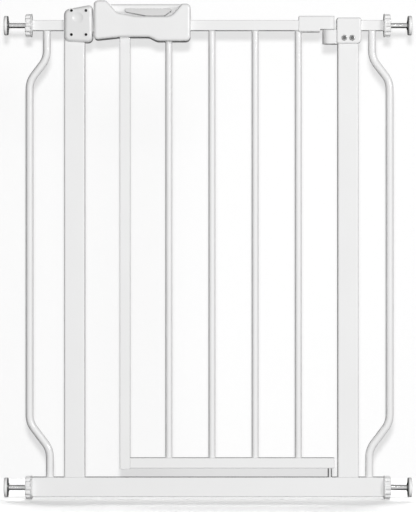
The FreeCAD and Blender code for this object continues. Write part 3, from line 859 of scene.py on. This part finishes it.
HANDLE_RECESS_DEPTH = 3.2 * MM
BAR_ROOM_RADIUS = 5.3 * MM
BAR_ROOM_FOOT = 0.69  # below the handle's underside
SLIDE_GAP = 0.4 * MM
THUMB_CORNERS = (
    (-94.0, 738.8, 20.0), (-67.0, 738.8, 6.0), (-50.5, 750.2, 2.5), (-130.0, 750.2, 2.0),
    (-125.5, 744.9, 4.0),
)
THUMB_EASE = 1.6 * MM
GROOVES = 9
GROOVE_PITCH = 5.0 * MM
GROOVE_RADIUS = 1.5 * MM
GROOVE_RISE = 0.9 * MM  # how far its centre lies above the pad
STEM_X = (-96.0 * MM, -84.0 * MM)
STEM_HALF_DEPTH = 3.0 * MM
ARM_Z = (733.2 * MM, 735.2 * MM)
BOLT_HEIGHT = 12.0 * MM
BOLT_END_X = -141.0 * MM
BOLT_ROOM = 34.0 * MM  # how far the window reaches behind the bolt's nose


def passage(node):
    """Room for a CAD node that goes through a wall."""
    low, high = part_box(node)
    gap = Vector((FIT_GAP,) * 3)
    return block(low - gap, high + gap, 0.3 * MM, 0)


def bar_room(node, foot, top_gap=0.0):
    """Room for the top of a door bar, from a height below it."""
    low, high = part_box(node)
    return disc("z", ((low.x + high.x) / 2, 0), BAR_ROOM_RADIUS, foot, high.z + top_gap)


def wall_rounding():
    """A cutter that leaves a quarter round along the inner top edge of the scoop's rear wall."""
    top, radius = REAR_WALL_TOP, REAR_WALL_ROUND
    start = SCOOP_BACK - 0.1 * MM
    section = [(start, top - radius)]
    for t in quarter_turn(8):
        section.append((SCOOP_BACK + radius * (1 - math.cos(t)), top - radius * (1 - math.sin(t))))
    section += [(SCOOP_BACK + radius, top + MM), (start, top + MM)]
    return loft([[Vector((x, y, z)) for y, z in section] for x in REAR_WALL_X])


def bolt_window(mouth):
    """The way for the latch bolt, from the handle's open end to behind the bolt."""
    low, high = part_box("latch_bolt")
    start = Vector((mouth - 10 * MM, low.y - SLIDE_GAP, low.z - SLIDE_GAP))
    end = Vector((low.x + BOLT_ROOM, high.y + SLIDE_GAP, low.z + BOLT_HEIGHT + SLIDE_GAP))
    return block(start, end, 1.0 * MM, 0, "x")


def stem_slot():
    """The slot that the thumb slide's stem travels in."""
    travel = JOINT_RANGE["latch_slide"][1]
    reach = STEM_HALF_DEPTH + SLIDE_GAP
    start = Vector((STEM_X[0] - travel - SLIDE_GAP, -reach, ARM_Z[0]))
    return block(start, Vector((STEM_X[1] + SLIDE_GAP, reach, ARM_Z[1] + 15 * MM)), 1.0 * MM, 0)


def handle_half(node, facing):
    """One shell of the handle. The rear one has the scoop cut into it, and the screw recesses."""
    low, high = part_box(node)
    y = low.y if facing < 0 else high.y
    top = HANDLE_SCOOP if facing < 0 else HANDLE_BACK
    shell = loft(rings("y", (0, 0), outline(HANDLE_UNDERSIDE + top), half_stations(y, HANDLE_EDGE)))
    cutters = [bolt_window(low.x), stem_slot(), bar_room("door_bar_1", BAR_ROOM_FOOT)]
    cutters += [passage("door_stile"), passage("door_top_rail")]
    if facing > 0:
        scoop = outline(HANDLE_SCOOP[1:-1] + SCOOP_ABOVE)
        cutters.append(loft(rings("y", (0, 0), scoop, [(-MM, 0), (SCOOP_BACK, 0)])))
        cutters.append(wall_rounding())
        for centre in solid_centres("handle_screws"):
            deep = y - HANDLE_RECESS_DEPTH
            cutters.append(disc("y", centre, HANDLE_RECESS_RADIUS, deep, y + CLEAR, count=CUTTER_ROUND))
    show(node, carved(shell, cutters), SHELL)


handle_half("handle_front_shell", -1)
handle_half("handle_rear_shell", 1)


def thumb_slide():
    """The grip that fills the scoop: a boat-shaped pad with shallow grooves across its top, and a stem."""
    low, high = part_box("thumb_slide")
    pad = loft(rings("y", (0, 0), outline(THUMB_CORNERS, 0.8 * MM), eased(low.y, high.y, THUMB_EASE)))
    grooves = []
    for i in range(GROOVES):
        x = (STEM_X[0] + STEM_X[1]) / 2 + (i - GROOVES // 2) * GROOVE_PITCH
        groove = (x, high.z + GROOVE_RISE)
        grooves.append(disc("y", groove, GROOVE_RADIUS, low.y - MM, high.y + MM, count=24))
    stem_low = Vector((STEM_X[0], -STEM_HALF_DEPTH, low.z))
    stem = block(stem_low, Vector((STEM_X[1], STEM_HALF_DEPTH, low.z + 5 * MM)), 0.6 * MM, 0)
    # The slide's grey is partly painted shade, for the shade in the scoop.
    show("thumb_slide", joined([carved(pad, grooves), stem]), GREY_PLASTIC_AND_SLIDE_SHADE)


def latch_bolt():
    """The bolt, with a chamfered nose, and the arm that reaches to the thumb slide."""
    low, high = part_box("latch_bolt")
    bolt_high = Vector((BOLT_END_X, high.y, low.z + BOLT_HEIGHT))
    bolt = block(low, bolt_high, 1.2 * MM, 1.0 * MM, "x")
    riser_low = Vector((BOLT_END_X - 8 * MM, low.y, bolt_high.z - 2 * MM))
    riser = block(riser_low, Vector((BOLT_END_X, high.y, high.z)), 0.8 * MM, 0.3 * MM)
    arm_low = Vector((BOLT_END_X - 7 * MM, low.y + 0.3 * MM, high.z - (ARM_Z[1] - ARM_Z[0])))
    arm = block(arm_low, high, 1.5 * MM, 0.3 * MM)
    show("latch_bolt", joined([bolt, riser, arm]), GREY_PLASTIC_AND_SLIDE_SHADE)


thumb_slide()
latch_bolt()


# --- Upper hinge and pivots -----------------------------------------------------------------------

PIVOT = (186.4 * MM, 0.0)
BRACKET_LEFT = 196.1 * MM
BRACKET_CORNER = 7.0 * MM  # at the lower outer corner
BRACKET_EDGE = 3.0 * MM
ARM_RADIUS = 11.4 * MM
ARM_TOP = 717.5 * MM
CAP_STEP = (171.0 * MM, 718.0 * MM)  # x and z where the cap narrows
CAP_RADIUS = 9.3 * MM
BUSH_RADIUS = 6.5 * MM
BUSH_WALL = 2.44 * MM
COUNTERBORE_RADIUS = 4.75 * MM
COUNTERBORE_DEPTH = 3.4 * MM
UPPER_PIN_RADIUS = 4.0 * MM
LOWER_PIN_RADIUS = 3.3 * MM
LOWER_BORE_RADIUS = 3.36 * MM
PIN_HEAD_HEIGHT = 3.0 * MM
PIN_CHAMFER = 0.5 * MM
PLUG_FLANGE = 1.2 * MM
PLUG_INSET = 1.3 * MM
INSERT_INSET = 1.25 * MM


def hinge_bracket():
    """The cap on the right post, with the round-ended arm that carries the pin."""
    low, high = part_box("hinge_bracket")
    soft = BRACKET_EDGE * 1.05  # a corner is rounder than the edge, or the inset outline crosses itself
    corners = (
        (BRACKET_LEFT, low.z, soft), (high.x, low.z, BRACKET_CORNER), (high.x, high.z, soft),
        (BRACKET_LEFT, high.z, soft),
    )
    shape = outline([tuple(value / MM for value in corner) for corner in corners], 0.8 * MM)
    body = loft(rings("y", (0, 0), shape, eased(low.y, high.y, BRACKET_EDGE)))
    knuckle = disc("z", PIVOT, ARM_RADIUS, low.z, ARM_TOP, ease=1.0 * MM)
    bridge_low = Vector((PIVOT[0], -ARM_RADIUS, low.z))
    bridge = block(bridge_low, Vector((BRACKET_LEFT + 4 * MM, ARM_RADIUS, ARM_TOP)), 0.3 * MM, 1.0 * MM)
    body = carved(body, [knuckle, bridge], "UNION")
    post_low, post_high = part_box("right_post")
    stub_low, stub_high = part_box("right_upper_stub")
    stub_start = Vector((post_high.x - MM, stub_low.y - FIT_GAP, low.z - MM))
    stub_end = Vector((high.x + MM, stub_high.y + FIT_GAP, stub_high.z + FIT_GAP))
    gap = Vector((FIT_GAP, FIT_GAP, 0))
    cutters = [
        block(post_low - gap, post_high + gap + Vector((0, 0, FIT_GAP)), 0.3 * MM, 0),
        block(stub_start, stub_end, 0.3 * MM, 0),
        disc("z", PIVOT, BUSH_RADIUS, low.z - MM, high.z + MM),
    ]
    for centre in solid_centres("hinge_bracket_bolts"):
        cutters.append(disc("y", centre, COUNTERBORE_RADIUS, low.y - MM, low.y + COUNTERBORE_DEPTH))
    show("hinge_bracket", carved(body, cutters), SHELL)


def hinge_cap():
    """The moulding on the top rail's end, thicker where it grips the rail."""
    low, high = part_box("hinge_cap")
    thick = block(low, Vector((CAP_STEP[0], CAP_RADIUS, high.z)), 3.2 * MM, 1.4 * MM, "x")
    neck_low = Vector((CAP_STEP[0] - 6 * MM, -CAP_RADIUS, CAP_STEP[1]))
    neck = block(neck_low, Vector((PIVOT[0], CAP_RADIUS, high.z)), 3.0 * MM, 0.1 * MM, "x")
    nose = disc("z", PIVOT, CAP_RADIUS, CAP_STEP[1], high.z, ease=3.0 * MM)
    clip_low = Vector((CAP_STEP[0] - 20 * MM, -2 * CAP_RADIUS, low.z - CLEAR))
    clip = block(clip_low, Vector((high.x, 2 * CAP_RADIUS, high.z + CLEAR)), 0.1 * MM, 0)
    nose = carved(nose, [clip], "INTERSECT")
    body = carved(thick, [neck, nose], "UNION")
    cutters = [
        passage("door_top_rail"),
        bar_room("door_bar_4", low.z - MM, top_gap=0.1 * MM),
        disc("z", PIVOT, UPPER_PIN_RADIUS, low.z - CLEAR, high.z - 3 * MM),
    ]
    show("hinge_cap", carved(body, cutters), HINGE_PLASTIC)


def pivot_pins():
    """The plain upper pin, and the lower pin with its head."""
    low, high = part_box("upper_pivot_pin")
    upper = disc("z", PIVOT, UPPER_PIN_RADIUS, low.z, high.z, ease=PIN_CHAMFER)
    show("upper_pivot_pin", upper, ZINC)
    low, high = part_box("lower_pivot_pin")
    shank = disc("z", PIVOT, LOWER_PIN_RADIUS, low.z, high.z, ease=PIN_CHAMFER)
    head_radius = (high.x - low.x) / 2
    head = disc("z", PIVOT, head_radius, low.z, low.z + PIN_HEAD_HEIGHT, ease=PIN_CHAMFER)
    show("lower_pivot_pin", joined([shank, head]), ZINC)


def upper_hinge_bush():
    """The bushing in the bracket's arm that the upper pin turns in."""
    low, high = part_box("upper_hinge_bush")
    profile = [(low.z, 0), (high.z, 0), (high.z, -BUSH_WALL), (low.z, -BUSH_WALL)]
    loops = rings("z", PIVOT, circle(BUSH_RADIUS), profile)
    show("upper_hinge_bush", loft(loops, closed=True), GREY_PLASTIC_AND_SLIDE_SHADE)


def door_stile_plug():
    """The plug in the stile's foot: a flange and a core inside the tube."""
    low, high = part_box("door_stile_plug")
    flange = block(low, Vector((high.x, high.y, low.z + PLUG_FLANGE)), 2.0 * MM, 0.5 * MM)
    core_low = low + Vector((PLUG_INSET, PLUG_INSET, MM))
    core = block(core_low, high - Vector((PLUG_INSET, PLUG_INSET, 0)), 1.0 * MM, 0.4 * MM)
    show("door_stile_plug", joined([flange, core]), SHELL)


def lower_hinge_insert():
    """The plug in the bottom rail's end, bored from below for the lower pin."""
    low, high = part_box("lower_hinge_insert")
    flange = block(Vector((high.x - PLUG_FLANGE, low.y, low.z)), high, 2.0 * MM, 0.5 * MM, "x")
    core_low = Vector((low.x, low.y + INSERT_INSET, low.z + INSERT_INSET))
    core_high = Vector((high.x - MM, high.y - INSERT_INSET, high.z - INSERT_INSET))
    core = block(core_low, core_high, 1.0 * MM, 0.3 * MM, "x")
    pin_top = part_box("lower_pivot_pin")[1].z
    bore = disc("z", PIVOT, LOWER_BORE_RADIUS, low.z - MM, pin_top + 0.5 * MM)
    show("lower_hinge_insert", carved(carved(core, [flange], "UNION"), [bore]), SHELL)


hinge_bracket()
hinge_cap()
pivot_pins()
upper_hinge_bush()
door_stile_plug()
lower_hinge_insert()


# --- Studio ---------------------------------------------------------------------------------------

scene = bpy.context.scene
scene.view_settings.view_transform = "Standard"
MIDDLE_Z = 0.372  # the height that the camera looks at
VIEW_HEIGHT = 0.7834  # how much of the gate's plane the picture takes in, from top to bottom
CAMERA_BACK = 5.0
WALL_Y = 0.46
WALL_TOP = 2.2
STAGE_HALF_WIDTH = 2.0
FLOOR_Y = (-2.2, 6.0)
SHADOW_DROP = 0.0145  # how far the key light throws the gate's shadow down the backdrop
WHITE = 0.973


def stage_material(name, tone, glow=0.0, one_sided=False):
    """Matt paper that may be lit through from behind, and may be seen from its front only."""
    n = new_material(name)
    wash = n.spread(n.noise(3, 2.0), 0.0, 1.0, 0.35, 0.65)
    n.finish(Base_Color=n.tint(wash, grey(tone), grey(tone + 0.004)), Roughness=0.9)
    n.shader.inputs["Specular IOR Level"].default_value = 0.0
    n.shader.inputs["Emission Color"].default_value = (1, 1, 1, 1)
    n.shader.inputs["Emission Strength"].default_value = glow
    if one_sided:
        behind = n.add("NewGeometry").outputs["Backfacing"]
        mix = n.add("MixShader")
        n.put(behind, mix.inputs[0])
        n.put(n.shader.outputs[0], mix.inputs[1])
        n.put(n.add("BsdfTransparent").outputs[0], mix.inputs[2])
        n.put(mix.outputs[0], n.tree.nodes["Material Output"].inputs["Surface"])
    return n.owner


def sheet(name, corners, material):
    """A flat sheet of the stage, which lights nothing else and shows in no reflection."""
    mesh = bmesh.new()
    mesh.faces.new([mesh.verts.new(c) for c in corners])
    data = bpy.data.meshes.new(name)
    mesh.to_mesh(data)
    mesh.free()
    obj = bpy.data.objects.new(name, data)
    scene.collection.objects.link(obj)
    data.materials.append(material)
    obj.visible_diffuse = False
    obj.visible_glossy = False
    return obj


def lamp(name, place, target, size, level, height=None):
    """A round or oval lamp. level is how bright a white surface looks that faces it at the target."""
    data = bpy.data.lights.new(name, "AREA")
    data.shape = "ELLIPSE"
    data.size = size
    data.size_y = height or size
    run = Vector(target) - Vector(place)
    data.energy = level * math.pi**2 * run.length_squared
    obj = bpy.data.objects.new(name, data)
    obj.location = place
    obj.rotation_euler = run.to_track_quat("-Z", "Y").to_euler()
    obj.visible_camera = False
    scene.collection.objects.link(obj)
    return obj


def stage():
    """The floor and the backdrop. Returns the floor."""
    left, right = -STAGE_HALF_WIDTH, STAGE_HALF_WIDTH
    front, back = FLOOR_Y
    corners = [(left, front, 0), (right, front, 0), (right, back, 0), (left, back, 0)]
    floor = sheet("floor", corners, stage_material("pale floor", 0.88))
    corners = [(left, WALL_Y, 0), (right, WALL_Y, 0), (right, WALL_Y, WALL_TOP), (left, WALL_Y, WALL_TOP)]
    paper = stage_material("pale backdrop", 0.40, glow=0.608, one_sided=True)
    backdrop = sheet("backdrop", corners, paper)
    backdrop.visible_shadow = False
    return floor


def lights(floor):
    """A key from the camera's side, three soft lamps, and two sweeps that light the floor only."""
    middle = (0, 0, MIDDLE_Z)
    key_rise = SHADOW_DROP * (CAMERA_BACK + WALL_Y) / WALL_Y
    key = lamp("key", (0, -CAMERA_BACK, MIDDLE_Z + key_rise), middle, size=0.10, level=0.70)
    lamp("fill", (3.2, -4.0, 1.6), middle, size=1.2, level=0.31)
    lamp("top", (0, -0.8, 3.0), (0, 0, 0.7), size=1.6, level=0.06)
    rear = lamp("rear", (1.5, 6.0, 0.5), middle, size=1.5, level=0.80)
    rear_sweep = lamp("rear sweep", (0, 6.0, 1.6), (0, 0, 0), size=5.0, level=2.6, height=1.2)
    front_sweep = lamp("front sweep", (0, -3.0, 1.5), (0, 0, 0), size=3.0, level=0.88, height=1.0)
    only_floor = bpy.data.collections.new("lit by the sweeps")
    only_floor.objects.link(floor)
    for sweep in (rear_sweep, front_sweep):
        sweep.light_linking.receiver_collection = only_floor
    for unseen in (key, rear, rear_sweep, front_sweep):
        unseen.visible_glossy = False


def surroundings():
    """White to the camera, a soft light on matt surfaces, and softboxes for the gloss to show."""
    world = bpy.data.worlds.new("studio")
    scene.world = world
    n = Nodes(world)
    n.tree.nodes.clear()
    toward = n.add("SeparateXYZ", Vector=n.add("TexCoord").outputs["Generated"]).outputs

    def lobe(direction, start, end, low, high):
        return n.spread(toward[direction], low, high, start, end, "SMOOTHSTEP")

    def combined(operation, first, second):
        node = n.add("Math", {"operation": operation})
        n.put(first, node.inputs[0])
        n.put(second, node.inputs[1])
        return node.outputs[0]

    front = lobe("Y", -0.3, -0.8, 0.04, 1.0)
    right = lobe("X", 0.2, 0.75, 0.0, 0.8)
    rear = combined("MULTIPLY", lobe("Y", 0.2, 0.6, 0.0, 0.7), lobe("Z", 0.35, 0.7, 0.0, 1.0))
    gloss_level = combined("ADD", combined("MAXIMUM", front, right), rear)
    matt_level = lobe("X", -1.0, 1.0, 0.05, 0.20)
    path = n.add("LightPath").outputs
    level = n.add("Mix", {"data_type": "FLOAT"})
    n.put(path["Is Glossy Ray"], level.inputs["Factor"])
    n.put(matt_level, level.inputs["A"])
    n.put(gloss_level, level.inputs["B"])
    soft = n.add("Background", Strength=level.outputs["Result"])
    white = n.add("Background", Color=(WHITE, WHITE, WHITE, 1))
    mix = n.add("MixShader")
    n.put(path["Is Camera Ray"], mix.inputs[0])
    n.put(soft.outputs[0], mix.inputs[1])
    n.put(white.outputs[0], mix.inputs[2])
    out = n.add("OutputWorld")
    n.put(mix.outputs[0], out.inputs[0])


def camera():
    """A long lens straight in front of the gate's middle."""
    data = bpy.data.cameras.new("camera")
    data.lens = data.sensor_width * CAMERA_BACK / VIEW_HEIGHT
    data.clip_end = 100
    obj = bpy.data.objects.new("camera", data)
    obj.location = (0, -CAMERA_BACK, MIDDLE_Z)
    obj.rotation_euler = (math.pi / 2, 0, 0)
    scene.collection.objects.link(obj)
    scene.camera = obj


lights(stage())
surroundings()
camera()
